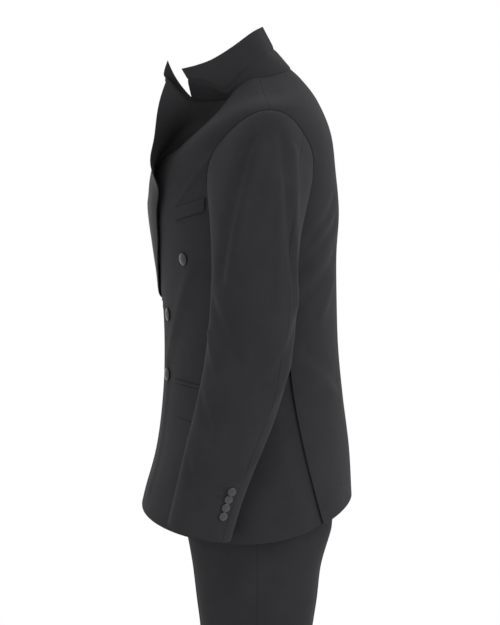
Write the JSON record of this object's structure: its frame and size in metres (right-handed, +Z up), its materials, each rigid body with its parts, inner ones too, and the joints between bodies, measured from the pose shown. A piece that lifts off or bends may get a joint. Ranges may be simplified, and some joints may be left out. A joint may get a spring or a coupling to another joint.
{
  "type": "double-breasted tuxedo jacket and trousers",
  "caption": "Dinner suit filled out as worn: double-breasted jacket with turned-up collar, peak lapels, flap pockets and covered buttons, over plain tapered trousers.",
  "frame": {"origin": "middle of the neck opening, level with the neck ends of the shoulder seams, where the wearer holds the suit", "axes": "+X towards the wearer's left, -Y towards the front, +Z up"},
  "size_m": [0.6208, 0.3454, 1.5522],
  "materials": {
    "jacket_wool": "fine black wool with a soft nap",
    "trouser_wool": "fine black wool, pressed",
    "undercollar": "black undercollar felt",
    "satin_lapel": "black satin facing, wool on its reverse",
    "satin_button": "satin-covered button"
  },
  "bodies": {
    "root": {"front_left": "jacket_wool", "side_panel_left": "jacket_wool", "back_left": "jacket_wool", "lapel_left": "satin_lapel", "sleeve_upper_left": "jacket_wool", "sleeve_under_left": "jacket_wool", "trouser_front_left": "trouser_wool", "trouser_back_left": "trouser_wool", "waistband_left": "trouser_wool", "pocket_flap_left": "jacket_wool", "pocket_jet_left": "jacket_wool", "front_button_left_1": "satin_button", "front_button_left_2": "satin_button", "front_button_left_3": "satin_button", "cuff_button_left_1": "satin_button", "cuff_button_left_2": "satin_button", "cuff_button_left_3": "satin_button", "cuff_button_left_4": "satin_button", "front_right": "jacket_wool", "side_panel_right": "jacket_wool", "back_right": "jacket_wool", "lapel_right": "satin_lapel", "sleeve_upper_right": "jacket_wool", "sleeve_under_right": "jacket_wool", "trouser_front_right": "trouser_wool", "trouser_back_right": "trouser_wool", "waistband_right": "trouser_wool", "pocket_flap_right": "jacket_wool", "pocket_jet_right": "jacket_wool", "front_button_right_1": "satin_button", "front_button_right_2": "satin_button", "front_button_right_3": "satin_button", "cuff_button_right_1": "satin_button", "cuff_button_right_2": "satin_button", "cuff_button_right_3": "satin_button", "cuff_button_right_4": "satin_button", "collar": "undercollar", "breast_welt": "jacket_wool"}
  },
  "joints": []
}
